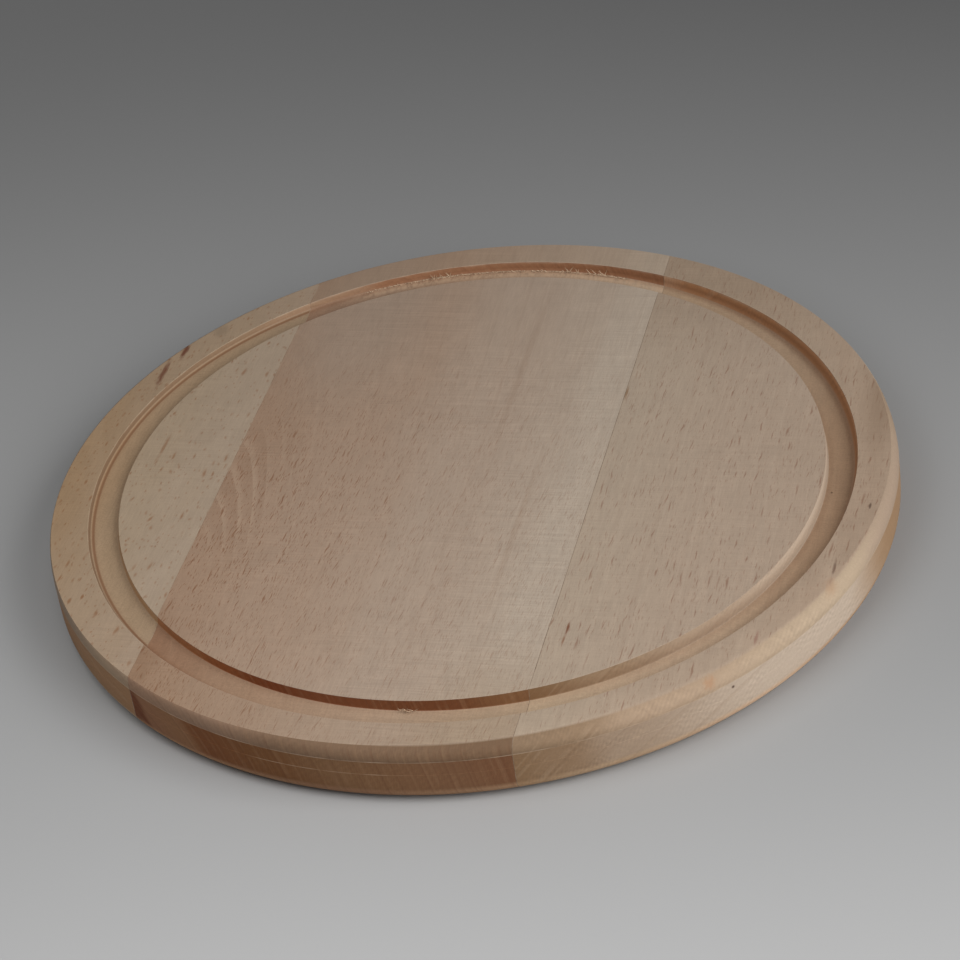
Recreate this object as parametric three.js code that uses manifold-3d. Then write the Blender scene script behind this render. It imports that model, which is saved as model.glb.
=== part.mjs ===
// Round beech cutting board: three staves edge-glued into one blank, which is then turned round,
// given a juice groove near the rim and rounded along both edges.
// Millimetres, +Z up, origin at the centre of the underside. The wood's grain runs along Y.
import * as THREE from 'three';
import { mergeVertices } from 'three/addons/utils/BufferGeometryUtils.js';
import Module from 'manifold-3d';

// Driving dimensions
const BOARD_DIAMETER = 250;
const BOARD_THICKNESS = 18;
const TOP_ROUND_WIDTH = 2.8; // the upper outer edge's rounding, seen from above
const TOP_ROUND_HEIGHT = 3.7; // and seen from the side
const LOWER_ROUNDING = 5.6; // radius worked on the lower outer edge
const RIM_WIDTH = 11.7; // board's outer wall to the mouth of the juice groove
const GROOVE_WIDTH = 9.1; // across the mouth
const GROOVE_DEPTH = 3.1; // to the foot of the walls
const GROOVE_DISH = 0.3; // how much deeper the floor is at its middle
const GROOVE_DRAFT = 0.4; // how far each groove wall leans in from mouth to foot
const GROOVE_FILLET = 0.6; // radius between wall and floor
const LEFT_STAVE_WIDTH = 51.7;
const RIGHT_STAVE_WIDTH = 86;
const GLUE_THICKNESS = 0.15;

// How finely the round shapes are divided
const TURNS = 96; // flats around the board
const ARC_STEPS = 3; // half the flats along each rounded stretch of the section

// Clearance by which the cutting blocks reach past the blank
const CUT_REACH = 5;

// Sizes that follow from the driving dimensions
const radius = BOARD_DIAMETER / 2;
const grooveOuter = radius - RIM_WIDTH;
const grooveInner = grooveOuter - GROOVE_WIDTH;
const grooveMiddle = (grooveOuter + grooveInner) / 2;
const floorHeight = BOARD_THICKNESS - GROOVE_DEPTH;
const leftJoint = LEFT_STAVE_WIDTH - radius;
const rightJoint = radius - RIGHT_STAVE_WIDTH;
const halfGlue = GLUE_THICKNESS / 2;

// Looks of the pieces
const YELLOWISH_BEECH = { color: 0xc9b394, roughness: 0.72, metalness: 0 };
const PINKISH_BEECH = { color: 0xc4a88c, roughness: 0.72, metalness: 0 };
const PALE_BEECH = { color: 0xcbb79c, roughness: 0.72, metalness: 0 };
const CURED_GLUE = { color: 0x8a6a48, roughness: 0.6, metalness: 0 };

const wasm = await Module();
wasm.setup();

// Half section of the turned blank, from the middle of the underside round to the middle of the top.
function boardSection() {
  const wallFoot = GROOVE_DRAFT + GROOVE_FILLET;
  const floorBottom = floorHeight - 2 * GROOVE_DISH;
  const section = new THREE.Path();
  section.moveTo(0, 0);
  section.lineTo(radius - LOWER_ROUNDING, 0);
  section.absarc(radius - LOWER_ROUNDING, LOWER_ROUNDING, LOWER_ROUNDING, -Math.PI / 2, 0, false);
  section.lineTo(radius, BOARD_THICKNESS - TOP_ROUND_HEIGHT);
  section.absellipse(
    radius - TOP_ROUND_WIDTH, BOARD_THICKNESS - TOP_ROUND_HEIGHT, TOP_ROUND_WIDTH, TOP_ROUND_HEIGHT,
    0, Math.PI / 2, false);
  section.lineTo(grooveOuter, BOARD_THICKNESS);
  section.lineTo(grooveOuter - GROOVE_DRAFT, floorHeight + GROOVE_FILLET);
  section.quadraticCurveTo(
    grooveOuter - GROOVE_DRAFT, floorHeight, grooveOuter - wallFoot, floorHeight);
  section.quadraticCurveTo(grooveMiddle, floorBottom, grooveInner + wallFoot, floorHeight);
  section.quadraticCurveTo(
    grooveInner + GROOVE_DRAFT, floorHeight, grooveInner + GROOVE_DRAFT, floorHeight + GROOVE_FILLET);
  section.lineTo(grooveInner, BOARD_THICKNESS);
  section.lineTo(0, BOARD_THICKNESS);
  return section.getPoints(ARC_STEPS);
}

// Solid of a closed geometry: shared corners are merged and the flat slivers at the axis dropped.
function solidOf(geometry) {
  geometry.deleteAttribute('normal');
  geometry.deleteAttribute('uv');
  const merged = mergeVertices(geometry);
  const corners = merged.index.array;
  const triangles = [];
  for (let i = 0; i < corners.length; i += 3) {
    const [a, b, c] = corners.slice(i, i + 3);
    if (a !== b && b !== c && c !== a) {
      triangles.push(a, b, c);
    }
  }
  return new wasm.Manifold(new wasm.Mesh({
    numProp: 3,
    vertProperties: new Float32Array(merged.attributes.position.array),
    triVerts: new Uint32Array(triangles),
  }));
}

function turnedBlank() {
  const geometry = new THREE.LatheGeometry(boardSection(), TURNS);
  geometry.rotateX(Math.PI / 2);
  return solidOf(geometry);
}

// The slice of the blank between two planes across X, one stave or one glue line. The unit block is placed
// and stretched in one step, so that neighbouring slices meet in exactly the same plane.
function sliceOf(blank, fromX, toX) {
  const block = new THREE.BoxGeometry(1, 1, 1);
  block.translate(0.5, 0, 0);
  const place = new THREE.Matrix4().makeTranslation(fromX, 0, BOARD_THICKNESS / 2);
  place.scale(new THREE.Vector3(
    toX - fromX, BOARD_DIAMETER + 2 * CUT_REACH, BOARD_THICKNESS + 2 * CUT_REACH));
  block.applyMatrix4(place);
  return blank.intersect(solidOf(block));
}

function pieceOf(name, solid, looks) {
  const cut = solid.getMesh();
  const geometry = new THREE.BufferGeometry();
  geometry.setAttribute('position', new THREE.BufferAttribute(new Float32Array(cut.vertProperties), 3));
  geometry.setIndex(new THREE.BufferAttribute(new Uint32Array(cut.triVerts), 1));
  geometry.computeVertexNormals();
  const piece = new THREE.Mesh(geometry, new THREE.MeshStandardMaterial(looks));
  piece.name = name;
  return piece;
}

// Each slice of the blank, from left to right: name, where it starts, where it ends, looks.
const SLICES = [
  ['left_stave', -radius - CUT_REACH, leftJoint - halfGlue, YELLOWISH_BEECH],
  ['left_glue_line', leftJoint - halfGlue, leftJoint + halfGlue, CURED_GLUE],
  ['middle_stave', leftJoint + halfGlue, rightJoint - halfGlue, PINKISH_BEECH],
  ['right_glue_line', rightJoint - halfGlue, rightJoint + halfGlue, CURED_GLUE],
  ['right_stave', rightJoint + halfGlue, radius + CUT_REACH, PALE_BEECH],
];

const blank = turnedBlank();
const board = new THREE.Group();
for (const [name, fromX, toX, looks] of SLICES) {
  board.add(pieceOf(name, sliceOf(blank, fromX, toX), looks));
}

export default board;
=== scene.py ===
"""Round beech cutting board: three edge-glued staves and their two glue lines, turned round and grooved.

Metres, +Z up, the grain along Y, the underside on Z = 0. Inside the materials, lengths are in millimetres.
"""
import math
import random

import bpy
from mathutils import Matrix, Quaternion, Vector


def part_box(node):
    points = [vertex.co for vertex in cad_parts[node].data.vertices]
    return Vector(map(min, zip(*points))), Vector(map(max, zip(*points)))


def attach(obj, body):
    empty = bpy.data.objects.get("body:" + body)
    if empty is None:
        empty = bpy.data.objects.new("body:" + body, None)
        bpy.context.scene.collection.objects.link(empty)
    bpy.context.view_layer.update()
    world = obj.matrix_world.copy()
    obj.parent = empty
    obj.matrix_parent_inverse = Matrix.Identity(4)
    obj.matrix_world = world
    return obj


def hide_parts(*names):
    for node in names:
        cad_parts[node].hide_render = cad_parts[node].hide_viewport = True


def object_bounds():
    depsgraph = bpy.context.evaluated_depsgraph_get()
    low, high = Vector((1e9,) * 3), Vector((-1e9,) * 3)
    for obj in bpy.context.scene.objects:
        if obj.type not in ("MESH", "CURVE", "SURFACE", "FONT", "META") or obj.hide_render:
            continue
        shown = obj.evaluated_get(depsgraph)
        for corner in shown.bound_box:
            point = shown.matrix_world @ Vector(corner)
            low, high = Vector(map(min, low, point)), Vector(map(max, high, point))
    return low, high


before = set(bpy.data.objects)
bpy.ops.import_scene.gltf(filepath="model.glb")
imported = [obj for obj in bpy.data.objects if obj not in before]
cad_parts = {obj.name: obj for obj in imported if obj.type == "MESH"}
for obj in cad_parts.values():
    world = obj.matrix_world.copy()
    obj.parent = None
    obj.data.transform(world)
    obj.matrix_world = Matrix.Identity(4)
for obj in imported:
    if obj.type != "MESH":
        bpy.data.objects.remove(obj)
cad_low, cad_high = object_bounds()


# The blank: the glued-up panel, turned round with a juice groove near the rim and both edges rounded.
# It is drawn as a half section and spun. Each stave and glue line is then sawn out of a copy of it.
MM = 0.001
RADIUS = cad_high.x
THICKNESS = cad_high.z
LOWER_ROUND = 5.6 * MM
UPPER_ROUND_WIDTH = 1.9 * MM  # on average; it differs around the board
UPPER_ROUND_HEIGHT = 3.7 * MM
UPPER_ROUND_ANGLE = 74  # degrees of the rounding's arc: it stops short of the top and leaves a faint arris
CUTTER_STEP = 0.03 * MM  # the wall stands back by this above each hairline that the cutter left
UPPER_HAIRLINE = THICKNESS - UPPER_ROUND_HEIGHT
LOWER_HAIRLINE = 10.0 * MM
ROUNDING_DRIFT = Vector((-0.64, 0.64, 0.0)) * MM  # how far off the axis the rounding meets the top
ROUNDING_OVAL = 1.4 * MM  # how much wider and narrower it is along and across its widest direction
ROUNDING_TURN = math.radians(45)  # from that direction, at the front right, round to X
GROOVE_OUTER = RADIUS - 11.7 * MM
GROOVE_INNER = GROOVE_OUTER - 9.1 * MM
GROOVE_FLOOR = THICKNESS - 3.1 * MM
GROOVE_DISH = 0.3 * MM
GROOVE_DRAFT = 0.4 * MM
GROOVE_TILT = math.radians(-0.7)  # about Y: the groove is deeper at the right than at the left
OUTER_FILLET = 1.6 * MM
INNER_FILLET = 0.4 * MM
MOUTH_BREAK = 0.06 * MM  # width of the sanded arris along both mouths of the groove
TURNS = 720
ROUND_STEPS = 12
FILLET_STEPS = 9
SHARP_ANGLE = math.radians(15)


def arc(centre, radii, start, end, steps):
    """Points along an elliptical arc of the half section, from one angle in degrees to another."""
    points = []
    for step in range(steps + 1):
        angle = math.radians(start + (end - start) * step / steps)
        points.append((centre[0] + radii[0] * math.cos(angle), centre[1] + radii[1] * math.sin(angle)))
    return points


def wall_section():
    """The outer wall and its two roundings, from the underside up to the top."""
    upper_wall = RADIUS - CUTTER_STEP
    top_wall = upper_wall - CUTTER_STEP
    points = arc((RADIUS - LOWER_ROUND, LOWER_ROUND), (LOWER_ROUND, LOWER_ROUND), -90, 0, ROUND_STEPS)
    points += [(RADIUS, LOWER_HAIRLINE - CUTTER_STEP), (upper_wall, LOWER_HAIRLINE)]
    points += [(upper_wall, UPPER_HAIRLINE - CUTTER_STEP)]
    turn = math.radians(UPPER_ROUND_ANGLE)
    radii = (UPPER_ROUND_WIDTH / (1 - math.cos(turn)), UPPER_ROUND_HEIGHT / math.sin(turn))
    points += arc((top_wall - radii[0], UPPER_HAIRLINE), radii, 0, UPPER_ROUND_ANGLE, ROUND_STEPS)
    return points


def groove_section():
    """The juice groove, from its outer mouth down, across the dished floor and up to the inner mouth."""
    outer_foot = GROOVE_OUTER - GROOVE_DRAFT - OUTER_FILLET
    inner_foot = GROOVE_INNER + GROOVE_DRAFT + INNER_FILLET
    outer_radii = (OUTER_FILLET, OUTER_FILLET)
    inner_radii = (INNER_FILLET, INNER_FILLET)
    points = [(GROOVE_OUTER + MOUTH_BREAK, THICKNESS), (GROOVE_OUTER, THICKNESS - MOUTH_BREAK)]
    points += arc((outer_foot, GROOVE_FLOOR + OUTER_FILLET), outer_radii, 0, -90, FILLET_STEPS)
    for step in range(1, ROUND_STEPS):
        share = step / ROUND_STEPS
        dip = 4 * share * (1 - share) * GROOVE_DISH
        points.append((outer_foot + (inner_foot - outer_foot) * share, GROOVE_FLOOR - dip))
    points += arc((inner_foot, GROOVE_FLOOR + INNER_FILLET), inner_radii, 270, 180, FILLET_STEPS)
    points += [(GROOVE_INNER, THICKNESS - MOUTH_BREAK), (GROOVE_INNER - MOUTH_BREAK, THICKNESS)]
    return points


def turned_blank():
    """The half section, drawn point by point from the middle of the underside, and spun about Z."""
    bpy.ops.object.select_all(action="DESELECT")
    bpy.ops.mesh.primitive_plane_add(size=MM)
    bpy.ops.object.mode_set(mode="EDIT")
    bpy.ops.mesh.merge(type="CENTER")
    at = (0.0, 0.0)
    for point in wall_section() + groove_section() + [(0.0, THICKNESS)]:
        move = (point[0] - at[0], 0, point[1] - at[1])
        bpy.ops.mesh.extrude_region_move(TRANSFORM_OT_translate={"value": move})
        at = point
    bpy.ops.mesh.select_all(action="SELECT")
    bpy.ops.mesh.spin(steps=TURNS, angle=math.tau, center=(0, 0, 0), axis=(0, 0, 1))
    bpy.ops.mesh.select_all(action="SELECT")
    bpy.ops.mesh.remove_doubles(threshold=0.001 * MM)
    bpy.ops.mesh.normals_make_consistent(inside=False)
    bpy.ops.object.mode_set(mode="OBJECT")
    return bpy.context.object


def select_ring(blank, away, height):
    """Selects the turned vertices at one distance from the axis and one height, and nothing else."""
    bpy.ops.mesh.select_all(action="DESELECT")
    bpy.ops.object.mode_set(mode="OBJECT")
    for vertex in blank.data.vertices:
        at_ring = abs(vertex.co.xy.length - away) < CUTTER_STEP / 2
        vertex.select = at_ring and abs(vertex.co.z - height) < CUTTER_STEP / 2
    bpy.ops.object.mode_set(mode="EDIT")


def warp_upper_rounding(blank):
    """Moves the rings of the upper rounding off the axis and makes them oval, the top one most."""
    bpy.ops.object.mode_set(mode="EDIT")
    for away, height in wall_section()[-ROUND_STEPS:]:
        select_ring(blank, away, height)
        share = (RADIUS - 2 * CUTTER_STEP - away) / UPPER_ROUND_WIDTH
        oval = ROUNDING_OVAL * share / away
        middle = (0, 0, height)
        bpy.ops.transform.rotate(value=-ROUNDING_TURN, orient_axis="Z", center_override=middle)
        bpy.ops.transform.resize(value=(1 - oval, 1 + oval, 1), center_override=middle)
        bpy.ops.transform.rotate(value=ROUNDING_TURN, orient_axis="Z", center_override=middle)
        bpy.ops.transform.translate(value=ROUNDING_DRIFT * share)
    bpy.ops.object.mode_set(mode="OBJECT")


def tilt_groove(blank):
    """Turns the rings of the groove below its mouths about Y, the deepest ones most."""
    bpy.ops.object.mode_set(mode="EDIT")
    for away, height in groove_section()[2:-2]:
        select_ring(blank, away, height)
        share = (THICKNESS - height) / (THICKNESS - GROOVE_FLOOR)
        bpy.ops.transform.rotate(value=GROOVE_TILT * share, orient_axis="Y", center_override=(0, 0, height))
    bpy.ops.object.mode_set(mode="OBJECT")


blank = turned_blank()
warp_upper_rounding(blank)
tilt_groove(blank)


def sawn_from_blank(name, node):
    """A copy of the blank, sawn square across at the faces where the CAD node ends."""
    low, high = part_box(node)
    bpy.ops.object.select_all(action="DESELECT")
    blank.select_set(True)
    bpy.context.view_layer.objects.active = blank
    bpy.ops.object.duplicate()
    piece = bpy.context.object
    piece.name = name
    piece.data.name = name
    bpy.ops.object.mode_set(mode="EDIT")
    for place, waste in ((low.x, "clear_inner"), (high.x, "clear_outer")):
        if abs(place) < RADIUS - MM:
            bpy.ops.mesh.select_all(action="SELECT")
            bpy.ops.mesh.bisect(
                plane_co=(place, 0, 0), plane_no=(1, 0, 0), use_fill=True, **{waste: True})
    bpy.ops.object.mode_set(mode="OBJECT")
    bpy.ops.object.shade_smooth_by_angle(angle=SHARP_ANGLE)
    return piece


# Left stave: plain-sawn beech, yellowish and sparsely flecked, with a few gum streaks on the rim.
# It is the narrow segment left of the first glue line. The beech figure is worked out here for all staves.
def srgb(red, green, blue):
    """A colour as linear RGBA, from the 0 to 255 levels that it has on screen."""
    levels = [level / 255 for level in (red, green, blue)]
    linear = [s / 12.92 if s <= 0.04045 else ((s + 0.055) / 1.055) ** 2.4 for s in levels]
    return (*linear, 1.0)


def feed(tree, socket, value):
    """Links a socket to another one, or sets it to a plain value."""
    if isinstance(value, bpy.types.NodeSocket):
        tree.links.new(value, socket)
    else:
        socket.default_value = value


def calc(tree, operation, *values):
    node = tree.nodes.new("ShaderNodeMath")
    node.operation = operation
    for socket, value in zip(node.inputs, values):
        feed(tree, socket, value)
    return node.outputs[0]


def product(tree, *values):
    result = values[0]
    for value in values[1:]:
        result = calc(tree, "MULTIPLY", result, value)
    return result


def smooth(tree, value, low, high):
    """0 at low, 1 at high, and a soft slope between; low may be the larger one."""
    node = tree.nodes.new("ShaderNodeMapRange")
    node.interpolation_type = "SMOOTHSTEP"
    feed(tree, node.inputs["Value"], value)
    feed(tree, node.inputs["From Min"], low)
    feed(tree, node.inputs["From Max"], high)
    return node.outputs["Result"]


def stretched(tree, place, lengths):
    """A place with each coordinate divided by a length, so that a texture's grain is that long."""
    node = tree.nodes.new("ShaderNodeCombineXYZ")
    for socket, value, length in zip(node.inputs, place, lengths):
        feed(tree, socket, calc(tree, "DIVIDE", value, length))
    return node.outputs[0]


def noise(tree, vector, detail=2.0, rough=0.5):
    node = tree.nodes.new("ShaderNodeTexNoise")
    node.inputs["Scale"].default_value = 1.0
    node.inputs["Detail"].default_value = detail
    node.inputs["Roughness"].default_value = rough
    tree.links.new(vector, node.inputs["Vector"])
    return node.outputs["Fac"]


def place_in_wood(tree):
    """X, Y and Z of the point on the board, in millimetres."""
    where = tree.nodes.new("ShaderNodeTexCoord")
    parts = tree.nodes.new("ShaderNodeSeparateXYZ")
    tree.links.new(where.outputs["Object"], parts.inputs[0])
    return [calc(tree, "DIVIDE", parts.outputs[axis], MM) for axis in range(3)]


def facing(tree):
    """X, Y and Z of the direction that the face looks in."""
    where = tree.nodes.new("ShaderNodeTexCoord")
    parts = tree.nodes.new("ShaderNodeSeparateXYZ")
    tree.links.new(where.outputs["Normal"], parts.inputs[0])
    return parts.outputs


def shader_group(name, inputs, outputs):
    """A new node group with plain number sockets; gives its tree, what comes in and what goes out."""
    tree = bpy.data.node_groups.new(name, "ShaderNodeTree")
    for label, value in inputs.items():
        socket = tree.interface.new_socket(label, in_out="INPUT", socket_type="NodeSocketFloat")
        socket.default_value = value
    for label in outputs:
        tree.interface.new_socket(label, in_out="OUTPUT", socket_type="NodeSocketFloat")
    return tree, tree.nodes.new("NodeGroupInput").outputs, tree.nodes.new("NodeGroupOutput").inputs


def put_group(tree, group, **values):
    """Places a group in a tree; a value's name is its socket's, with _ for each blank."""
    node = tree.nodes.new("ShaderNodeGroup")
    node.node_tree = group
    for label, value in values.items():
        feed(tree, node.inputs[label.replace("_", " ")], value)
    return node.outputs


WEAVE_PITCH = 1.9  # millimetres between the rings, and between the rays, that cross on the end grain


def growth_rings_group():
    """Year rings about the tree's heart, which lies under the board and leans a little along the grain."""
    tree, given, put = shader_group(
        "growth_rings",
        {"Heart X": 0.0, "Heart Z": -60.0, "Lean X": 0.0, "Lean Z": 0.0, "Ring Width": 1.8, "Wander": 3.0},
        ["Late Wood", "Early Line", "Bands", "Around", "Along", "Ray Ends", "Weave"])
    x, y, z = place_in_wood(tree)
    slow = noise(tree, stretched(tree, (x, y, z), (45.0, 90.0, 60.0)))
    bend = calc(tree, "MULTIPLY", calc(tree, "SUBTRACT", slow, 0.5), given["Wander"])
    heart_x = calc(tree, "MULTIPLY_ADD", given["Lean X"], y, given["Heart X"])
    heart_z = calc(tree, "MULTIPLY_ADD", given["Lean Z"], y, given["Heart Z"])
    away = calc(tree, "ADD", calc(tree, "SUBTRACT", x, heart_x), bend)
    above = calc(tree, "SUBTRACT", z, heart_z)
    radius = calc(tree, "SQRT", calc(tree, "MULTIPLY_ADD", away, away, product(tree, above, above)))
    uneven = tree.nodes.new("ShaderNodeTexNoise")
    uneven.noise_dimensions = "1D"
    uneven.inputs["Scale"].default_value = 0.11
    tree.links.new(radius, uneven.inputs["W"])
    plain_year = calc(tree, "DIVIDE", radius, given["Ring Width"])
    year = calc(tree, "MULTIPLY_ADD", uneven.outputs["Fac"], 2.0, plain_year)
    part = calc(tree, "FRACT", year)
    luck = tree.nodes.new("ShaderNodeTexWhiteNoise")
    luck.noise_dimensions = "1D"
    tree.links.new(calc(tree, "FLOOR", year), luck.inputs["W"])
    lucky = product(tree, luck.outputs["Value"], luck.outputs["Value"])
    strength = calc(tree, "MULTIPLY_ADD", lucky, 0.85, 0.15)
    rise = smooth(tree, part, 0.1, 0.9)
    fall = smooth(tree, part, 1.0, 0.93)
    tree.links.new(product(tree, rise, fall, strength), put["Late Wood"])
    tree.links.new(product(tree, smooth(tree, part, 0.4, 0.08), strength), put["Early Line"])
    bands = tree.nodes.new("ShaderNodeTexNoise")
    bands.noise_dimensions = "1D"
    bands.inputs["Scale"].default_value = 0.65
    tree.links.new(radius, bands.inputs["W"])
    tree.links.new(smooth(tree, bands.outputs["Fac"], 0.45, 0.7), put["Bands"])
    around = product(tree, calc(tree, "ARCTAN2", away, above), radius)
    tree.links.new(around, put["Around"])
    tree.links.new(y, put["Along"])
    face = facing(tree)
    radial = calc(tree, "MULTIPLY_ADD", face[0], away, product(tree, face[2], above))
    tree.links.new(calc(tree, "ABSOLUTE", calc(tree, "DIVIDE", radial, radius)), put["Ray Ends"])

    ends = smooth(tree, calc(tree, "ABSOLUTE", face[1]), 0.05, 0.4)
    patches = smooth(tree, noise(tree, stretched(tree, (x, y, z), (11.0, 11.0, 5.0))), 0.35, 0.65)
    shift = calc(tree, "MULTIPLY", noise(tree, stretched(tree, (x, y, z), (5.0, 5.0, 5.0))), 9.0)
    waves = [calc(tree, "SINE", calc(tree, "MULTIPLY_ADD", length, math.tau / WEAVE_PITCH, shift))
             for length in (radius, around)]
    tree.links.new(calc(tree, "MULTIPLY_ADD", product(tree, *waves, ends, patches), 0.5, 0.5), put["Weave"])
    return tree


def ray_flecks_group():
    """Beech rays: thin ribbons that run out from the heart, short dark strokes where their ends show."""
    tree, given, put = shader_group(
        "ray_flecks",
        {"Across": 0.0, "Along": 0.0, "Gap Across": 1.5, "Gap Along": 4.0,
         "Half Width": 0.2, "Half Length": 1.6, "Share": 0.7},
        ["Fleck"])
    place = (given["Across"], given["Along"], 0.0)
    crowd = noise(tree, stretched(tree, place, (8.0, 15.0, 1.0)))
    sway = noise(tree, stretched(tree, place, (3.0, 6.0, 1.0)))
    across = calc(tree, "MULTIPLY_ADD", sway, 2.0, given["Across"])
    along = calc(tree, "MULTIPLY_ADD", crowd, 9.0, given["Along"])
    cell = stretched(tree, (across, along, 0.0), (given["Gap Across"], given["Gap Along"], 1.0))
    nearest = tree.nodes.new("ShaderNodeTexVoronoi")
    nearest.voronoi_dimensions = "2D"
    nearest.inputs["Scale"].default_value = 1.0
    tree.links.new(cell, nearest.inputs["Vector"])
    offset = tree.nodes.new("ShaderNodeVectorMath")
    offset.operation = "SUBTRACT"
    tree.links.new(cell, offset.inputs[0])
    tree.links.new(nearest.outputs["Position"], offset.inputs[1])
    parts = tree.nodes.new("ShaderNodeSeparateXYZ")
    tree.links.new(offset.outputs[0], parts.inputs[0])
    luck = tree.nodes.new("ShaderNodeSeparateColor")
    tree.links.new(nearest.outputs["Color"], luck.inputs[0])
    size = calc(tree, "MULTIPLY_ADD", product(tree, luck.outputs[0], luck.outputs[0]), 0.9, 0.6)
    wide = calc(tree, "DIVIDE", product(tree, parts.outputs[0], given["Gap Across"]), given["Half Width"])
    long = calc(tree, "DIVIDE", product(tree, parts.outputs[1], given["Gap Along"]), given["Half Length"])
    square = calc(tree, "MULTIPLY_ADD", wide, wide, product(tree, long, long))
    far = calc(tree, "DIVIDE", calc(tree, "SQRT", square), size)
    often = product(tree, given["Share"], calc(tree, "MULTIPLY_ADD", crowd, 3.0, -0.5))
    least = calc(tree, "SUBTRACT", 1.0, often)
    kept = smooth(tree, luck.outputs[1], least, calc(tree, "ADD", least, 0.5))
    tree.links.new(product(tree, smooth(tree, far, 1.0, 0.1), kept), put["Fleck"])
    return tree


def fibre_group():
    """Fibres along the grain, silky streaks across it on the top, mottles, and how far end grain shows."""
    tree, _, put = shader_group("fibre", {}, ["Fibre", "Silk", "Pores", "Mottle", "End Grain"])
    place = place_in_wood(tree)
    tree.links.new(noise(tree, stretched(tree, place, (0.45, 8.0, 0.45)), 3.0, 0.6), put["Fibre"])
    tree.links.new(noise(tree, stretched(tree, place, (0.6, 0.6, 0.6)), 3.0, 0.65), put["Pores"])
    tree.links.new(noise(tree, stretched(tree, place, (4.0, 9.0, 4.0))), put["Mottle"])
    face = facing(tree)
    lines = noise(tree, stretched(tree, place, (15.0, 0.5, 4.0)), 2.0, 0.6)
    patches = smooth(tree, noise(tree, stretched(tree, place, (35.0, 30.0, 30.0))), 0.3, 0.7)
    silk = product(tree, calc(tree, "SUBTRACT", lines, 0.5), patches, smooth(tree, face[2], 0.9, 0.99))
    tree.links.new(calc(tree, "ADD", silk, 0.5), put["Silk"])
    tree.links.new(smooth(tree, calc(tree, "ABSOLUTE", face[1]), 0.15, 0.95), put["End Grain"])
    return tree


CREASE_INSET = 1.3  # millimetres from the groove's outer mouth to the dark crease in its cove, partly cutter burn and partly painted shade
LOW_LINE_MIDDLE = -12.0  # X of the stretch along which the lower hairline shows


def near(tree, value, middle, none, full):
    """1 where a value is within full of the middle, and 0 from none on."""
    return smooth(tree, calc(tree, "ABSOLUTE", calc(tree, "SUBTRACT", value, middle)), none, full)


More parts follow.
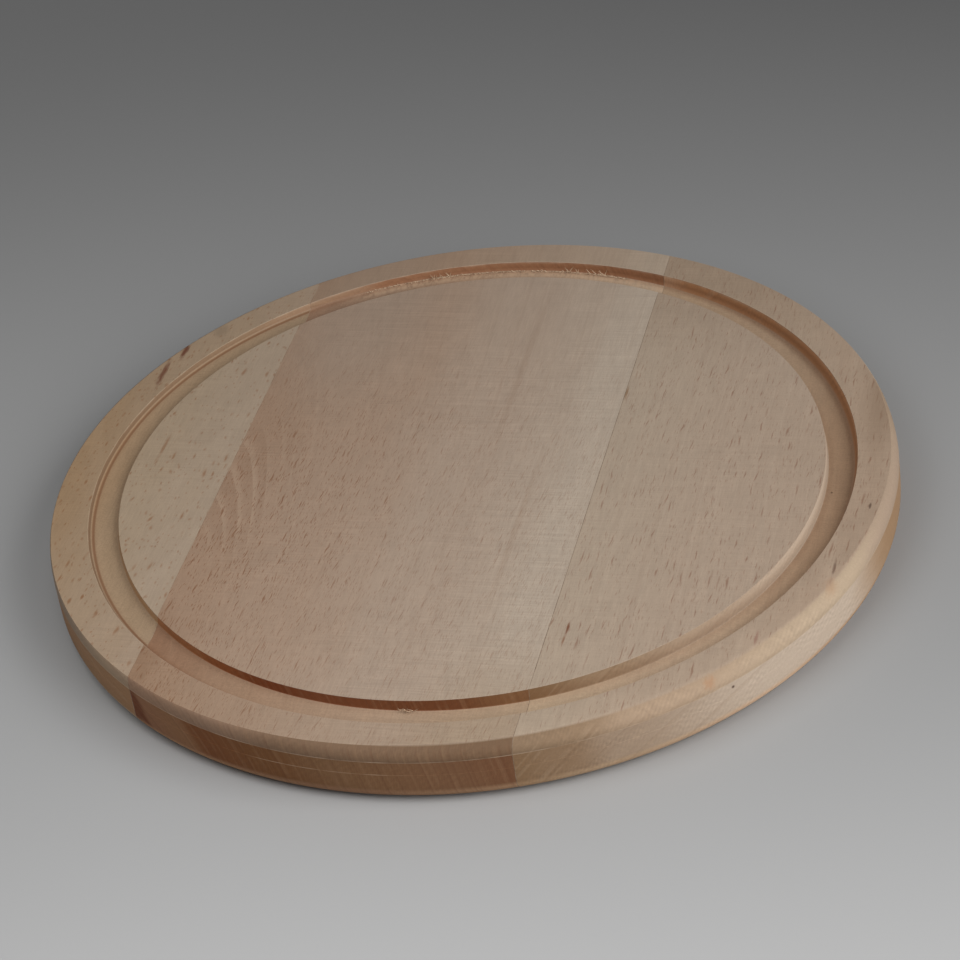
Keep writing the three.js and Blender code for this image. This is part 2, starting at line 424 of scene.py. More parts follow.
def cutter_marks_group():
    """Where each cutter worked, and what it left: hairlines, a painted highlight along the groove's outer
    mouth, and a rub and a crease at the groove's foot, both partly painted shade.
    """
    tree, _, put = shader_group(
        "cutter_marks", {},
        ["Hairline", "Rub And Shade", "Crease", "Rim", "Wall", "Rounding", "Lower Rounding",
         "Outer Groove Wall", "Inner Groove Wall", "Groove Floor", "Torn Floor"])
    x, y, z = place_in_wood(tree)
    face_z = facing(tree)[2]
    out = calc(tree, "SQRT", calc(tree, "MULTIPLY_ADD", x, x, product(tree, y, y)))
    outer, inner = GROOVE_OUTER / MM, GROOVE_INNER / MM
    upper, lower = UPPER_HAIRLINE / MM, LOWER_HAIRLINE / MM
    edge = smooth(tree, out, outer + 2.0, outer + 3.0)
    tree.links.new(product(tree, edge, smooth(tree, z, upper, upper - 0.15)), put["Wall"])
    above = product(tree, smooth(tree, z, upper - 0.15, upper), smooth(tree, face_z, 0.975, 0.92))
    tree.links.new(product(tree, edge, above), put["Rounding"])
    below = smooth(tree, z, LOWER_ROUND / MM - 0.2, LOWER_ROUND / MM - 2.2)
    tree.links.new(product(tree, edge, below), put["Lower Rounding"])

    broken = smooth(tree, noise(tree, stretched(tree, (x, y, z), (7.0, 7.0, 2.0))), 0.35, 0.65)
    stretch = near(tree, x, LOW_LINE_MIDDLE, 28.0, 14.0)
    low_line = product(tree, near(tree, z, lower, 0.16, 0.04), stretch)
    lines = calc(tree, "ADD", near(tree, z, upper, 0.18, 0.04), low_line)
    # A pale line along the groove's outer mouth: a painted highlight on its sanded arris.
    mouth = near(tree, out, outer, 0.2, 0.06)
    lines = calc(tree, "MAXIMUM", product(tree, lines, edge), product(tree, mouth, 0.6))
    tree.links.new(product(tree, lines, broken), put["Hairline"])
    beyond = smooth(tree, out, outer + 0.05, outer + 0.2)
    tree.links.new(product(tree, beyond, smooth(tree, face_z, 0.93, 0.99)), put["Rim"])

    inside = smooth(tree, out, inner - 0.1, inner + 0.02)
    across = product(tree, inside, smooth(tree, out, outer + 0.1, outer - 0.02))
    sunk = product(tree, across, smooth(tree, z, THICKNESS / MM - 0.05, THICKNESS / MM - 0.15))
    ends = smooth(tree, calc(tree, "DIVIDE", calc(tree, "ABSOLUTE", y), out), 0.6, 0.9)
    no_wall = calc(tree, "MULTIPLY_ADD", ends, -0.1, 0.96)
    upright = smooth(tree, face_z, no_wall, calc(tree, "MULTIPLY_ADD", ends, 0.25, 0.45))
    at_outer = smooth(tree, out, (outer + inner) / 2 - 0.1, (outer + inner) / 2 + 0.1)
    at_inner = calc(tree, "SUBTRACT", 1.0, at_outer)
    tree.links.new(product(tree, sunk, upright, at_outer), put["Outer Groove Wall"])
    tree.links.new(product(tree, sunk, upright, at_inner), put["Inner Groove Wall"])
    floor = product(tree, sunk, calc(tree, "SUBTRACT", 1.0, upright))
    tree.links.new(floor, put["Groove Floor"])
    fuzz = smooth(tree, noise(tree, stretched(tree, (x, y, z), (1.2, 2.5, 2.0)), 3.0, 0.7), 0.3, 0.6)
    at_back = smooth(tree, calc(tree, "DIVIDE", y, out), 0.8, 0.9)
    by_wall = smooth(tree, out, inner + 4.0, outer - 2.0)
    tree.links.new(product(tree, floor, fuzz, at_back, by_wall), put["Torn Floor"])
    # The rub: brown at the foot of both groove walls, partly the cutter's rub and partly painted shade that
    # warms the groove's shadows.
    outer_foot = near(tree, out, outer - GROOVE_DRAFT / MM - 0.6, 2.2, 0.2)
    inner_foot = product(tree, near(tree, out, inner + GROOVE_DRAFT / MM + 0.4, 2.0, 0.2), 0.35)
    low = smooth(tree, z, GROOVE_FLOOR / MM + 2.4, GROOVE_FLOOR / MM + 1.0)
    tree.links.new(product(tree, calc(tree, "MAXIMUM", outer_foot, inner_foot), low), put["Rub And Shade"])
    # The crease: a dark line in the outer cove, partly cutter burn and partly painted shade of a sharper
    # crease than the fillet gives.
    crease = near(tree, out, outer - CREASE_INSET, 0.65, 0.12)
    tree.links.new(product(tree, sunk, crease), put["Crease"])
    return tree


def stain_group():
    """A long soft mark in the wood, such as a gum streak; its half length runs along the grain."""
    tree, given, put = shader_group(
        "stain",
        {"X": 0.0, "Y": 0.0, "Z": 0.0, "Half Length": 4.0, "Half Width": 1.0, "Ragged": 1.0},
        ["Mask"])
    x, y, z = place_in_wood(tree)
    along = calc(tree, "DIVIDE", calc(tree, "SUBTRACT", y, given["Y"]), given["Half Length"])
    across = calc(tree, "DIVIDE", calc(tree, "SUBTRACT", x, given["X"]), given["Half Width"])
    deep = calc(tree, "DIVIDE", calc(tree, "SUBTRACT", z, given["Z"]), given["Half Width"])
    flat = calc(tree, "MULTIPLY_ADD", across, across, product(tree, deep, deep))
    square = calc(tree, "MULTIPLY_ADD", along, along, flat)
    grain = noise(tree, stretched(tree, (x, y, z), (0.6, 3.0, 0.6)))
    ragged = product(tree, calc(tree, "SUBTRACT", grain, 0.5), given["Ragged"])
    far = calc(tree, "ADD", calc(tree, "SQRT", square), ragged)
    tree.links.new(smooth(tree, far, 1.0, 0.2), put["Mask"])
    return tree


GROWTH_RINGS = growth_rings_group()
RAY_FLECKS = ray_flecks_group()
FIBRE = fibre_group()
CUTTER_MARKS = cutter_marks_group()
STAIN = stain_group()
BEECH_ROUGHNESS = 0.68
BEECH_SHINE = 0.3
# Brown of the rub and the crease at the groove's foot, which also paints their shade.
RUBBED_AND_SHADED_BROWN = srgb(108, 70, 44)
TORN_PALE = srgb(190, 160, 132)
# Pale of the cutter's hairlines and of the painted highlight along the groove's outer mouth.
HAIRLINE_AND_HIGHLIGHT_PALE = srgb(186, 166, 144)
HAIRLINE_AND_HIGHLIGHT_SHARE = 0.35
GRAIN_RELIEF = 0.05 * MM
GRAIN_RELIEF_STRENGTH = 0.5


def mixed(tree, share, first, second, blend="MIX"):
    """A colour between two others, or one laid over the other."""
    node = tree.nodes.new("ShaderNodeMix")
    node.data_type = "RGBA"
    node.blend_type = blend
    feed(tree, node.inputs[0], share)
    feed(tree, node.inputs[6], first)
    feed(tree, node.inputs[7], second)
    return node.outputs[2]


def shaded(tree, colour, value, depth):
    """A colour made darker and lighter by a value around 0.5."""
    level = calc(tree, "MULTIPLY_ADD", value, depth, 1 - depth / 2)
    node = tree.nodes.new("ShaderNodeCombineColor")
    for socket in node.inputs[:3]:
        tree.links.new(level, socket)
    return mixed(tree, 1.0, colour, node.outputs[0], "MULTIPLY")


def ramp(tree, value, stops):
    """A colour that changes with a value: pairs of the value and the colour that it has there."""
    first, last = stops[0][0], stops[-1][0]
    spread = tree.nodes.new("ShaderNodeMapRange")
    spread.inputs["From Min"].default_value = first
    spread.inputs["From Max"].default_value = last
    tree.links.new(value, spread.inputs["Value"])
    node = tree.nodes.new("ShaderNodeValToRGB")
    node.color_ramp.interpolation = "EASE"
    while len(node.color_ramp.elements) < len(stops):
        node.color_ramp.elements.new(0.5)
    for element, (place, colour) in zip(node.color_ramp.elements, stops):
        element.position = (place - first) / (last - first)
        element.color = colour
    tree.links.new(spread.outputs["Result"], node.inputs["Fac"])
    return node.outputs["Color"]


def tint_across(tree, stops, drift, slant=0.0):
    """A colour that changes with X in millimetres; its borders wave along the grain and may lean with Z."""
    place = place_in_wood(tree)
    wave = noise(tree, stretched(tree, place, (16.0, 70.0, 9.0)))
    above = calc(tree, "SUBTRACT", place[2], LOWER_HAIRLINE / MM)
    leaning = calc(tree, "MULTIPLY_ADD", above, slant, place[0])
    return ramp(tree, calc(tree, "MULTIPLY_ADD", calc(tree, "SUBTRACT", wave, 0.5), drift, leaning), stops)


def stained(tree, colour, stains):
    """A colour with marks in it; each is (values of the stain group, its colour, its share)."""
    for values, stain_colour, share in stains:
        mask = put_group(tree, STAIN, **values)["Mask"]
        colour = mixed(tree, product(tree, mask, share), colour, stain_colour)
    return colour


def face_colour(tree, growth, fibre, looks):
    """The sanded faces: arches is where the year rings show best, patches are places with another tint."""
    colour = tint_across(tree, looks["tints"], 24.0)
    rings = looks["ring_share"]
    if "arches" in looks:
        rings = calc(tree, "MULTIPLY_ADD", put_group(tree, STAIN, **looks["arches"])["Mask"], 0.5, rings)
    colour = mixed(tree, product(tree, growth["Late Wood"], rings), colour, looks["late_wood"])
    colour = mixed(tree, product(tree, growth["Early Line"], rings), colour, looks["early_wood"])
    colour = stained(tree, colour, looks.get("patches", ()))
    for figure, depth in (("Fibre", 0.3), ("Pores", 0.22), ("Mottle", 0.16), ("Silk", looks["silk_depth"])):
        colour = shaded(tree, colour, fibre[figure], depth)
    return colour


def end_colour(tree, growth, fibre, tints, looks):
    """Faces turned or cut across the grain: a weave of rings and rays, and bands of paler rings."""
    colour = tint_across(tree, tints, 4.0, looks["slant"])
    colour = shaded(tree, colour, growth["Weave"], looks["weave_depth"])
    shows = smooth(tree, fibre["Mottle"], 0.3, 0.6)
    pale = product(tree, growth["Bands"], fibre["End Grain"], shows, looks["band_share"])
    colour = mixed(tree, pale, colour, looks["end_pale"])
    dark = product(tree, growth["Late Wood"], fibre["End Grain"], 0.3)
    return shaded(tree, mixed(tree, dark, colour, looks["end_dark"]), fibre["Pores"], 0.3)


def fleck_share(tree, growth, looks):
    """How strongly both sorts of flecks show: small ones close together, and fewer long ones."""
    shows = calc(tree, "MULTIPLY_ADD", smooth(tree, growth["Ray Ends"], 0.3, 0.8), 0.45, 0.55)
    if "fleck_fade" in looks:
        shows = product(tree, shows, smooth(tree, growth["Along"], *looks["fleck_fade"]))
    place = dict(Across=growth["Around"], Along=growth["Along"])
    fine = put_group(tree, RAY_FLECKS, **place, **looks["fine_flecks"])["Fleck"]
    long = put_group(tree, RAY_FLECKS, **place, **looks["long_flecks"])["Fleck"]
    fine = product(tree, fine, looks["fine_share"])
    long = product(tree, long, looks["long_share"])
    return product(tree, calc(tree, "MAXIMUM", fine, long), shows)


def beech(name, rings, stains, **looks):
    """Sanded, unoiled beech of one stave."""
    material = bpy.data.materials.new(name)
    material.use_nodes = True
    tree = material.node_tree
    shader = tree.nodes["Principled BSDF"]
    growth = put_group(tree, GROWTH_RINGS, **rings)
    fibre = put_group(tree, FIBRE)
    cutter = put_group(tree, CUTTER_MARKS)
    flecks = fleck_share(tree, growth, looks)

    face = face_colour(tree, growth, fibre, looks)
    colour = mixed(tree, flecks, face, looks["fleck_colour"])
    colour = mixed(tree, cutter["Rim"], colour, looks["rim_tint"], "MULTIPLY")
    for cut in ("Wall", "Rounding", "Lower Rounding", "Outer Groove Wall", "Inner Groove Wall"):
        tints = looks[cut.lower().replace(" ", "_") + "_tints"]
        colour = mixed(tree, cutter[cut], colour, end_colour(tree, growth, fibre, tints, looks))
    floor_tint = tint_across(tree, looks["floor_tints"], 8.0)
    floor_colour = mixed(tree, 1.0, shaded(tree, face, fibre["Pores"], 0.25), floor_tint, "MULTIPLY")
    colour = mixed(tree, cutter["Groove Floor"], colour, floor_colour)
    colour = mixed(tree, product(tree, cutter["Torn Floor"], looks["torn_share"]), colour, TORN_PALE)
    # The rub and the crease darken the groove's foot: partly cutter marks, partly painted shade.
    colour = mixed(tree, product(tree, cutter["Rub And Shade"], looks["rub_share"]), colour, RUBBED_AND_SHADED_BROWN)
    colour = mixed(tree, product(tree, cutter["Crease"], looks["crease_share"]), colour, RUBBED_AND_SHADED_BROWN)
    colour = stained(tree, colour, stains)
    # Hairlines, and a painted highlight along the groove's outer mouth.
    colour = mixed(tree, product(tree, cutter["Hairline"], HAIRLINE_AND_HIGHLIGHT_SHARE), colour, HAIRLINE_AND_HIGHLIGHT_PALE)

    tree.links.new(colour, shader.inputs["Base Color"])
    rough = calc(tree, "MULTIPLY_ADD", fibre["Fibre"], 0.12, BEECH_ROUGHNESS)
    tree.links.new(rough, shader.inputs["Roughness"])
    shader.inputs["Specular IOR Level"].default_value = BEECH_SHINE
    bump = tree.nodes.new("ShaderNodeBump")
    bump.inputs["Strength"].default_value = GRAIN_RELIEF_STRENGTH
    bump.inputs["Distance"].default_value = GRAIN_RELIEF
    tree.links.new(calc(tree, "SUBTRACT", fibre["Fibre"], flecks), bump.inputs["Height"])
    tree.links.new(bump.outputs["Normal"], shader.inputs["Normal"])
    return material


def finish_piece(piece, material, node):
    """Gives a piece its material, hides the CAD node that it stands for and lets it ride on the board."""
    piece.data.materials.clear()
    piece.data.materials.append(material)
    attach(piece, "root")
    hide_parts(node)


GUM_RED = srgb(96, 52, 34)
DASH_BROWN = srgb(126, 88, 58)
LEFT_STAINS = (
    (dict(X=-106.9, Y=58.0, Z=18.0, Half_Length=6.5, Half_Width=1.4), GUM_RED, 0.9),
    (dict(X=-110.2, Y=45.0, Z=18.0, Half_Length=10.0, Half_Width=1.3), GUM_RED, 0.8),
    (dict(X=-98.2, Y=69.4, Z=18.0, Half_Length=5.0, Half_Width=3.5), srgb(112, 96, 78), 0.4),
    (dict(X=-101.6, Y=-69.1, Z=18.0, Half_Length=1.8, Half_Width=0.8), DASH_BROWN, 0.8),
    (dict(X=-98.4, Y=-67.1, Z=18.0, Half_Length=1.8, Half_Width=0.7), DASH_BROWN, 0.8),
    (dict(X=-97.3, Y=7.0, Z=18.0, Half_Length=8.0, Half_Width=0.8), DASH_BROWN, 0.6),
)
left_stave = sawn_from_blank("left_stave_beech", "left_stave")
finish_piece(
    left_stave,
    beech(
        "yellowish_beech",
        rings=dict(Heart_X=-100.0, Heart_Z=-95.0, Lean_X=0.03, Lean_Z=0.05, Ring_Width=2.4, Wander=8.0),
        stains=LEFT_STAINS,
        tints=((-125, srgb(150, 126, 98)), (-100, srgb(154, 135, 113)), (-73, srgb(156, 138, 119))),
        ring_share=0.15, late_wood=srgb(142, 119, 94), early_wood=srgb(170, 152, 132),
        fine_flecks=dict(Gap_Across=2.0, Gap_Along=3.6, Half_Width=0.42, Half_Length=1.0, Share=0.85),
        long_flecks=dict(Gap_Across=4.2, Gap_Along=7.5, Half_Width=0.55, Half_Length=1.8, Share=0.7),
        fine_share=0.42, long_share=0.6, fleck_colour=srgb(124, 80, 44), rim_tint=(0.95, 0.91, 0.88, 1.0),
        rounding_tints=((-125, srgb(138, 121, 104)), (-100, srgb(146, 126, 106)), (-82, srgb(158, 135, 111)),
                        (-73, srgb(156, 133, 110))),
        wall_tints=((-125, srgb(155, 117, 83)), (-73, srgb(155, 117, 83))),
        outer_groove_wall_tints=((-125, srgb(116, 90, 67)), (-90, srgb(127, 101, 77)),
                                 (-73, srgb(143, 114, 89))),
        inner_groove_wall_tints=((-125, srgb(176, 142, 106)), (-73, srgb(170, 134, 98))),
        lower_rounding_tints=((-125, srgb(192, 167, 140)), (-73, srgb(190, 160, 132))),
        floor_tints=((-125, (0.99, 0.91, 0.83, 1.0)), (-73, (0.89, 0.81, 0.70, 1.0))),
        rub_share=0.2, torn_share=0.2, crease_share=0.72, silk_depth=0.3,
        end_pale=srgb(176, 150, 122), end_dark=srgb(120, 88, 62),
        band_share=0.2, weave_depth=0.12, slant=0.3),
    "left_stave")


# Left glue line: a film of white wood glue squeezed out between the first two staves and sanded flush.
# It is tight and nearly as pale as the wood, so that the joint shows mainly as a change of tone.
def glue(name, colour, dark):
    """Cured glue with wood dust sanded into it, a little uneven along its length."""
    material = bpy.data.materials.new(name)
    material.use_nodes = True
    tree = material.node_tree
    shader = tree.nodes["Principled BSDF"]
    uneven = noise(tree, stretched(tree, place_in_wood(tree), (4.0, 6.0, 2.0)), 3.0, 0.6)
    patches = smooth(tree, uneven, 0.35, 0.65)
    tree.links.new(mixed(tree, patches, colour, dark), shader.inputs["Base Color"])
    tree.links.new(calc(tree, "MULTIPLY_ADD", patches, 0.15, 0.5), shader.inputs["Roughness"])
    shader.inputs["Specular IOR Level"].default_value = BEECH_SHINE
    return material


left_glue = sawn_from_blank("left_glue_film", "left_glue_line")
finish_piece(
    left_glue,
    glue("pale_cured_glue", srgb(150, 130, 110), srgb(126, 100, 80)),
    "left_glue_line")


# Middle stave: the wide board of the panel, pinkish at the left where its year rings lie flat and arch,
# paler and striped to the right where they stand up. Its end grain is a dark red brown.
MIDDLE_STAINS = (
    (dict(X=4.5, Y=55.0, Z=18.0, Half_Length=60.0, Half_Width=1.5, Ragged=0.8), srgb(134, 110, 90), 0.22),
    (dict(X=20.0, Y=-25.0, Z=18.0, Half_Length=50.0, Half_Width=1.3, Ragged=0.8), srgb(136, 112, 92), 0.22),
)
middle_stave = sawn_from_blank("middle_stave_beech", "middle_stave")
finish_piece(
    middle_stave,
    beech(
        "pinkish_beech",
        rings=dict(Heart_X=-80.0, Heart_Z=-27.0, Lean_X=0.05, Lean_Z=-0.13, Ring_Width=1.5, Wander=3.0),
        stains=MIDDLE_STAINS,
        tints=((-73, srgb(147, 121, 100)), (-40, srgb(153, 130, 111)), (0, srgb(159, 140, 123)),
               (39, srgb(168, 153, 137))),
        patches=(
            (dict(X=-55.0, Y=80.0, Z=18.0, Half_Length=70.0, Half_Width=32.0, Ragged=0.3),
             srgb(150, 132, 116), 0.6),
            (dict(X=32.0, Y=-125.0, Z=18.0, Half_Length=60.0, Half_Width=32.0, Ragged=0.3),
             srgb(154, 134, 113), 0.65),
            (dict(X=-71.0, Y=-90.0, Z=18.0, Half_Length=30.0, Half_Width=6.0, Ragged=0.3),
             srgb(132, 104, 82), 0.5)),
        arches=dict(X=-66.0, Y=-12.0, Z=18.0, Half_Length=48.0, Half_Width=18.0, Ragged=0.0),
        ring_share=0.12, late_wood=srgb(132, 105, 84), early_wood=srgb(168, 146, 124),
        fine_flecks=dict(Gap_Across=0.95, Gap_Along=2.4, Half_Width=0.2, Half_Length=1.2, Share=1.0),
        long_flecks=dict(Gap_Across=2.6, Gap_Along=7.0, Half_Width=0.3, Half_Length=2.6, Share=0.8),
        fine_share=0.6, long_share=0.75, fleck_colour=srgb(114, 73, 46), fleck_fade=(110.0, -30.0),
        rim_tint=(0.95, 0.92, 0.88, 1.0),
        # The rounding darkens towards the right: painted shade, on top of the wood's tint.
        rounding_tints=((-73, srgb(150, 119, 96)), (-45, srgb(134, 107, 87)), (-15, srgb(116, 91, 70)),
                        (39, srgb(108, 83, 61))),
        wall_tints=((-71, srgb(110, 60, 31)), (-68.5, srgb(138, 96, 67)), (-56, srgb(137, 97, 65)),
                    (-50, srgb(117, 69, 33)), (-28, srgb(114, 73, 38)), (-8, srgb(122, 88, 58)),
                    (22, srgb(120, 85, 58)), (39, srgb(112, 74, 48))),
        outer_groove_wall_tints=((-73, srgb(140, 112, 87)), (-56, srgb(139, 107, 82)),
                                 (-48, srgb(134, 93, 65)), (39, srgb(134, 90, 61))),
        inner_groove_wall_tints=((-73, srgb(160, 110, 73)), (-56, srgb(148, 95, 58)),
                                 (-48, srgb(137, 80, 43)), (-30, srgb(115, 58, 26)),
                                 (-15, srgb(117, 66, 37)), (20, srgb(109, 63, 34)),
                                 (39, srgb(121, 84, 53))),
        lower_rounding_tints=((-73, srgb(180, 134, 95)), (-10, srgb(151, 111, 80)), (39, srgb(169, 132, 99))),
        floor_tints=((-73, (0.84, 0.72, 0.64, 1.0)), (-40, (0.90, 0.81, 0.72, 1.0)),
                     (39, (0.98, 0.90, 0.80, 1.0))),
        rub_share=0.3, torn_share=0.6, crease_share=0.1, silk_depth=0.38,
        end_pale=srgb(152, 118, 88), end_dark=srgb(92, 54, 33), band_share=0.2, weave_depth=0.16, slant=0.5),
    "middle_stave")


# Torn fibres: slivers that the groove cutter tore up out of the middle stave instead of cutting them.
# They stand in three tufts and a low fringe at the foot of the groove's back wall, and in one tuft at
# the foot of its front wall.
BACK_FOOT = GROOVE_OUTER - GROOVE_DRAFT - OUTER_FILLET / 2
FRONT_FOOT = -(GROOVE_INNER + GROOVE_DRAFT + INNER_FILLET)
TUFTS = (
    (-35, 3.0, BACK_FOOT, 12, 4.2, 1.6), (8, 2.0, BACK_FOOT, 8, 3.8, 1.6), (17, 3.5, BACK_FOOT, 9, 3.4, 1.2),
    (-15, 42.0, BACK_FOOT, 260, 1.1, 0.4), (7, 2.0, FRONT_FOOT, 12, 2.8, 0.6))
FIBRE_WIDTH = 0.13 * MM


def torn_fibres():
    """All tufts as one mesh; each is (X, its spread, foot, number of fibres, longest, steepness)."""
    pick = random.Random(11)
    bpy.ops.object.select_all(action="DESELECT")
    bpy.ops.mesh.primitive_plane_add(size=MM)
    fibres = bpy.context.object
    fibres.name = "torn_fibres"
    bpy.ops.object.mode_set(mode="EDIT")
    bpy.ops.mesh.delete(type="VERT")
    for middle, spread, away, count, longest, steep in TUFTS:
        for _ in range(count):
            x = (middle + pick.uniform(-spread, spread)) * MM
            y = math.copysign(math.sqrt(away ** 2 - x ** 2), away) - 0.1 * MM
            foot = Vector((x, y, GROOVE_FLOOR + x * math.sin(GROOVE_TILT) + pick.uniform(0.1, 0.5) * MM))
            lean = Vector((pick.uniform(-0.7, 0.7), pick.uniform(-0.7, 0.0), pick.uniform(0.5, 1.0) * steep))
            lean.normalize()
            room = (THICKNESS - 2 * FIBRE_WIDTH - foot.z) / lean.z
            length = min(pick.uniform(0.4, 1.0) * longest * MM, room)
            bpy.ops.mesh.primitive_cone_add(
                vertices=5, radius1=FIBRE_WIDTH, radius2=0, depth=length, location=foot + lean * length / 2,
                rotation=lean.to_track_quat("Z", "Y").to_euler())
    bpy.ops.object.mode_set(mode="OBJECT")
    return fibres


def pale_fibre():
    material = bpy.data.materials.new("pale_fibre")
    material.use_nodes = True
    shader = material.node_tree.nodes["Principled BSDF"]
    shader.inputs["Base Color"].default_value = srgb(196, 172, 146)
    shader.inputs["Roughness"].default_value = BEECH_ROUGHNESS
    shader.inputs["Specular IOR Level"].default_value = BEECH_SHINE
    return material


tufts = torn_fibres()
tufts.data.materials.append(pale_fibre())
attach(tufts, "root")


# Right glue line: the same glue between the middle and the right stave. The joint was a little open,
# so it shows as a thin brown line, with a short dark gap in its back half.
right_glue = sawn_from_blank("right_glue_film", "right_glue_line")
finish_piece(
    right_glue,
    glue("brown_cured_glue", srgb(132, 114, 96), srgb(98, 78, 60)),
    "right_glue_line")


# Right stave: pale beech with dense short flecks and a few reddish gum streaks. Its end grain stays pale,
# and a drop of gum and two orange stains show on its rounded edge.
RIGHT_STAINS = (
    (dict(X=44.3, Y=-70.6, Z=18.0, Half_Length=3.4, Half_Width=0.6), srgb(108, 62, 38), 0.9),
    (dict(X=44.1, Y=-75.8, Z=18.0, Half_Length=3.0, Half_Width=0.5), srgb(120, 78, 50), 0.8),
    (dict(X=117.0, Y=48.0, Z=17.0, Half_Length=48.0, Half_Width=9.0, Ragged=0.2), srgb(132, 110, 90), 0.6),
    (dict(X=96.0, Y=-71.0, Z=18.0, Half_Length=4.0, Half_Width=0.8), srgb(128, 88, 74), 0.6),
    (dict(X=86.5, Y=-89.2, Z=17.0, Half_Length=3.5, Half_Width=2.5), srgb(158, 116, 82), 0.5),
    (dict(X=112.6, Y=-47.1, Z=17.0, Half_Length=5.0, Half_Width=2.5), srgb(158, 120, 88), 0.4),
    (dict(X=119.0, Y=-10.9, Z=18.0, Half_Length=2.0, Half_Width=0.5), srgb(80, 60, 48), 0.8),
    (dict(X=112.7, Y=-39.6, Z=18.0, Half_Length=5.0, Half_Width=0.6), srgb(92, 70, 58), 0.6),
    (dict(X=39.4, Y=41.0, Z=18.0, Half_Length=4.5, Half_Width=0.6), srgb(122, 90, 58), 0.7),
    (dict(X=106.4, Y=1.0, Z=13.5, Half_Length=0.7, Half_Width=0.5, Ragged=0.3), srgb(70, 44, 30), 0.9),
    (dict(X=101.5, Y=-24.6, Z=13.5, Half_Length=0.6, Half_Width=0.5, Ragged=0.3), srgb(84, 54, 38), 0.9),
    (dict(X=91.6, Y=-85.0, Z=12.5, Half_Length=0.8, Half_Width=0.7, Ragged=0.3), srgb(64, 40, 28), 0.9),
)
right_stave = sawn_from_blank("right_stave_beech", "right_stave")
finish_piece(
    right_stave,
    beech(
        "pale_beech",
        rings=dict(Heart_X=140.0, Heart_Z=-75.0, Lean_X=0.02, Lean_Z=0.03, Ring_Width=2.0, Wander=5.0),
        stains=RIGHT_STAINS,
        tints=((39, srgb(161, 144, 126)), (80, srgb(161, 142, 124)), (125, srgb(158, 137, 118))),
        patches=(
            (dict(X=60.0, Y=120.0, Z=18.0, Half_Length=70.0, Half_Width=90.0, Ragged=0.3),
             srgb(146, 126, 107), 0.7),),
        ring_share=0.15, late_wood=srgb(140, 116, 98), early_wood=srgb(176, 158, 140),
        fine_flecks=dict(Gap_Across=1.2, Gap_Along=3.0, Half_Width=0.2, Half_Length=1.2, Share=0.85),
        long_flecks=dict(Gap_Across=2.8, Gap_Along=8.0, Half_Width=0.32, Half_Length=3.1, Share=0.75),
        fine_share=0.38, long_share=0.58, fleck_colour=srgb(116, 76, 54), rim_tint=(0.98, 0.97, 0.95, 1.0),
        # Near the right glue line the rounding is darker: painted shade, on top of the wood's tint.
        rounding_tints=((39, srgb(126, 103, 80)), (54, srgb(132, 108, 84)), (70, srgb(155, 132, 109)),
                        (117, srgb(166, 146, 123)), (124, srgb(154, 133, 114))),
        wall_tints=((39, srgb(130, 101, 72)), (52, srgb(137, 110, 84)), (66, srgb(155, 133, 112)),
                    (100, srgb(179, 161, 143)), (116, srgb(178, 160, 142)), (125, srgb(146, 116, 86))),
        outer_groove_wall_tints=((39, srgb(166, 127, 97)), (48, srgb(159, 113, 77)),
                                 (110, srgb(169, 122, 85))),
        inner_groove_wall_tints=((39, srgb(123, 92, 62)), (58, srgb(145, 120, 94)), (80, srgb(165, 143, 121)),
                                 (105, srgb(184, 165, 145))),
        # The groove floor darkens and browns at the far right: painted shade of the outer wall, on top of the
        # wood's tint.
        floor_tints=((39, (1.08, 1.0, 0.88, 1.0)), (78, (1.10, 1.03, 0.93, 1.0)),
                     (107, (1.02, 0.90, 0.77, 1.0))),
        lower_rounding_tints=((39, srgb(168, 134, 100)), (60, srgb(183, 153, 122)),
                              (100, srgb(202, 170, 140)), (125, srgb(160, 120, 82))),
        rub_share=0.4, torn_share=0.1, crease_share=0.0, silk_depth=0.24,
        end_pale=srgb(176, 152, 126), end_dark=srgb(116, 90, 66),
        band_share=0.2, weave_depth=0.21, slant=0.0),
    "right_stave")

bpy.data.objects.remove(blank)


# Floor: a seamless sheet of grey paper that the board lies on. It is painted pale in front and darker behind
# and to the right, as painted shade of the light falling off. It is a large plane with a soft sheen, and it
# catches the shadow.
FLOOR_SIZE = 12.0
PAPER_ROUGHNESS = 0.45
PAPER_SHINE = 0.25
CAMERA_AZIMUTH = math.radians(18.18)
PAPER_PAINTED_FALLOFF_STOPS = ((-0.30, srgb(190, 190, 190)), (-0.05, srgb(155, 155, 155)), (0.40, srgb(127, 127, 127)))
PAPER_PAINTED_SIDE_FALLOFF = 2.2  # painted shade: how much darker the paper gets to the right, for each metre that it runs back
bpy.ops.object.select_all(action="DESELECT")
bpy.ops.mesh.primitive_plane_add(size=FLOOR_SIZE)
floor = bpy.context.object
floor.name = "paper_floor"


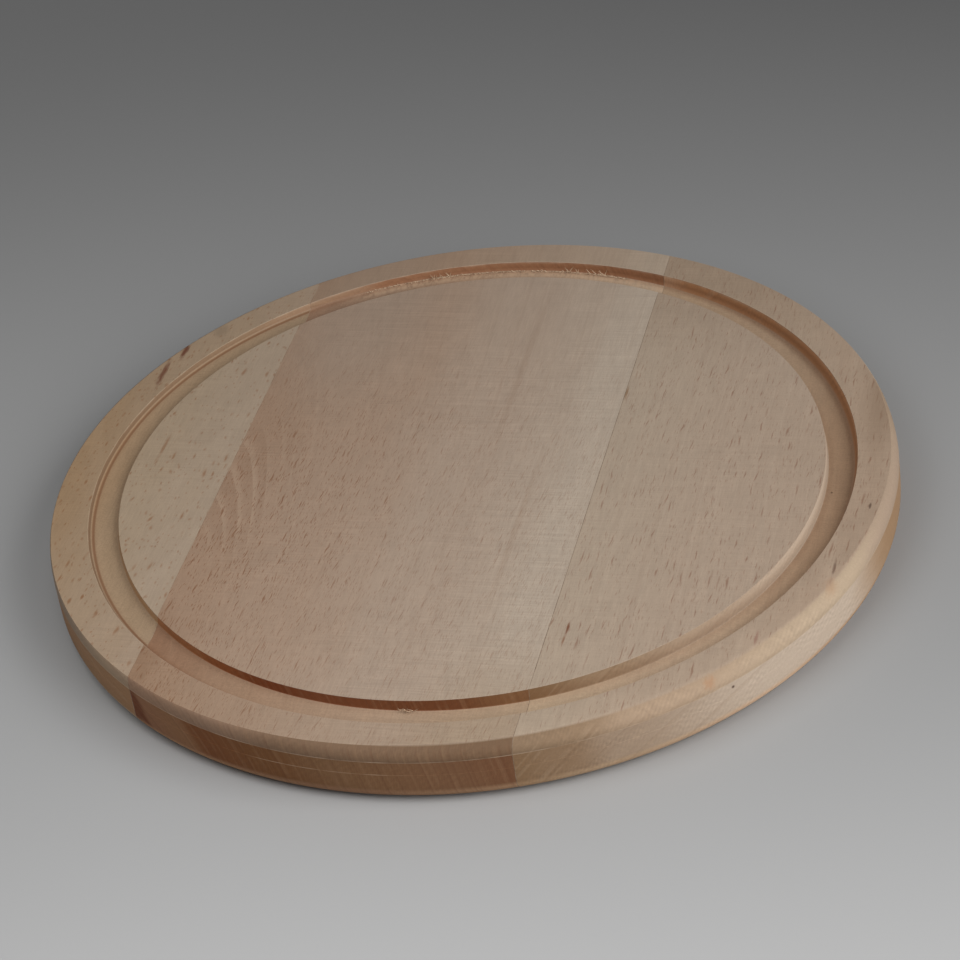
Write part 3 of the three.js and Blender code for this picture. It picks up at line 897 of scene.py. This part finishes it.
def paper():
    material = bpy.data.materials.new("grey_paper_painted_falloff")
    material.use_nodes = True
    tree = material.node_tree
    shader = tree.nodes["Principled BSDF"]
    where = tree.nodes.new("ShaderNodeTexCoord")
    parts = tree.nodes.new("ShaderNodeSeparateXYZ")
    turned = tree.nodes.new("ShaderNodeVectorRotate")
    turned.rotation_type = "Z_AXIS"
    turned.inputs["Angle"].default_value = -CAMERA_AZIMUTH
    tree.links.new(where.outputs["Object"], turned.inputs["Vector"])
    tree.links.new(turned.outputs["Vector"], parts.inputs[0])
    right, back = parts.outputs[0], parts.outputs[1]
    from_front = calc(tree, "SUBTRACT", back, PAPER_PAINTED_FALLOFF_STOPS[0][0])
    slope = calc(tree, "SUBTRACT", 0.5, product(tree, right, from_front))
    # Painted shade: the paper darkens behind and to the right, standing in for the light's falloff.
    colour = shaded(tree, ramp(tree, back, PAPER_PAINTED_FALLOFF_STOPS), slope, PAPER_PAINTED_SIDE_FALLOFF)
    tree.links.new(colour, shader.inputs["Base Color"])
    shader.inputs["Roughness"].default_value = PAPER_ROUGHNESS
    shader.inputs["Specular IOR Level"].default_value = PAPER_SHINE
    return material


floor.data.materials.append(paper())


# Light: a low soft box at the right and a small one close above the front left, with an even sky.
# The low one draws the groove's shadows, and the sky keeps them open.
def direction(azimuth, elevation):
    """Unit vector towards a place around the board; azimuth 0 is in front and 90 degrees at the right."""
    level = math.cos(elevation)
    return Vector((math.sin(azimuth) * level, -math.cos(azimuth) * level, math.sin(elevation)))


def soft_box(name, azimuth, elevation, distance, size, level):
    """A square lamp aimed at the board; level 1 shows a facing colour as it is written."""
    towards = direction(math.radians(azimuth), math.radians(elevation))
    lamp = bpy.data.lights.new(name, "AREA")
    lamp.size = size
    lamp.energy = level * (math.pi * distance) ** 2
    holder = bpy.data.objects.new(name, lamp)
    holder.location = towards * distance
    holder.rotation_mode = "QUATERNION"
    holder.rotation_quaternion = (-towards).to_track_quat("-Z", "Y")
    bpy.context.scene.collection.objects.link(holder)


soft_box("side_soft_box", azimuth=70, elevation=32, distance=1.1, size=0.9, level=1.1)
soft_box("front_soft_box", azimuth=-25, elevation=58, distance=0.41, size=0.3, level=0.46)
SKY_LEVEL = 0.14
BACKDROP = srgb(150, 150, 150)


def even_sky():
    """White light from all around; the camera sees a grey backdrop instead."""
    sky = bpy.data.worlds.new("even_sky")
    sky.use_nodes = True
    tree = sky.node_tree
    light = tree.nodes["Background"]
    light.inputs["Color"].default_value = (1, 1, 1, 1)
    light.inputs["Strength"].default_value = SKY_LEVEL
    backdrop = tree.nodes.new("ShaderNodeBackground")
    backdrop.inputs["Color"].default_value = BACKDROP
    ray = tree.nodes.new("ShaderNodeLightPath")
    choice = tree.nodes.new("ShaderNodeMixShader")
    tree.links.new(ray.outputs["Is Camera Ray"], choice.inputs[0])
    tree.links.new(light.outputs[0], choice.inputs[1])
    tree.links.new(backdrop.outputs[0], choice.inputs[2])
    tree.links.new(choice.outputs[0], tree.nodes["World Output"].inputs["Surface"])
    return sky


bpy.context.scene.world = even_sky()


# Camera: above the front right of the board, with a long lens, turned a little about its own axis.
# It aims near the middle of the top.
CAMERA_ELEVATION = math.radians(35.51)
CAMERA_ROLL = math.radians(-8.80)
CAMERA_AIM = Vector((4.43 * MM, -5.09 * MM, THICKNESS))
CAMERA_DISTANCE = 0.8755
CAMERA_LENS = 112.5
back_to_camera = direction(CAMERA_AZIMUTH, CAMERA_ELEVATION)
camera = bpy.data.objects.new("camera", bpy.data.cameras.new("camera"))
camera.data.lens = CAMERA_LENS
camera.location = CAMERA_AIM + back_to_camera * CAMERA_DISTANCE
camera.rotation_mode = "QUATERNION"
camera.rotation_quaternion = (-back_to_camera).to_track_quat("-Z", "Y") @ Quaternion((0, 0, 1), CAMERA_ROLL)
bpy.context.scene.collection.objects.link(camera)
bpy.context.scene.camera = camera
bpy.context.scene.view_settings.view_transform = "Standard"
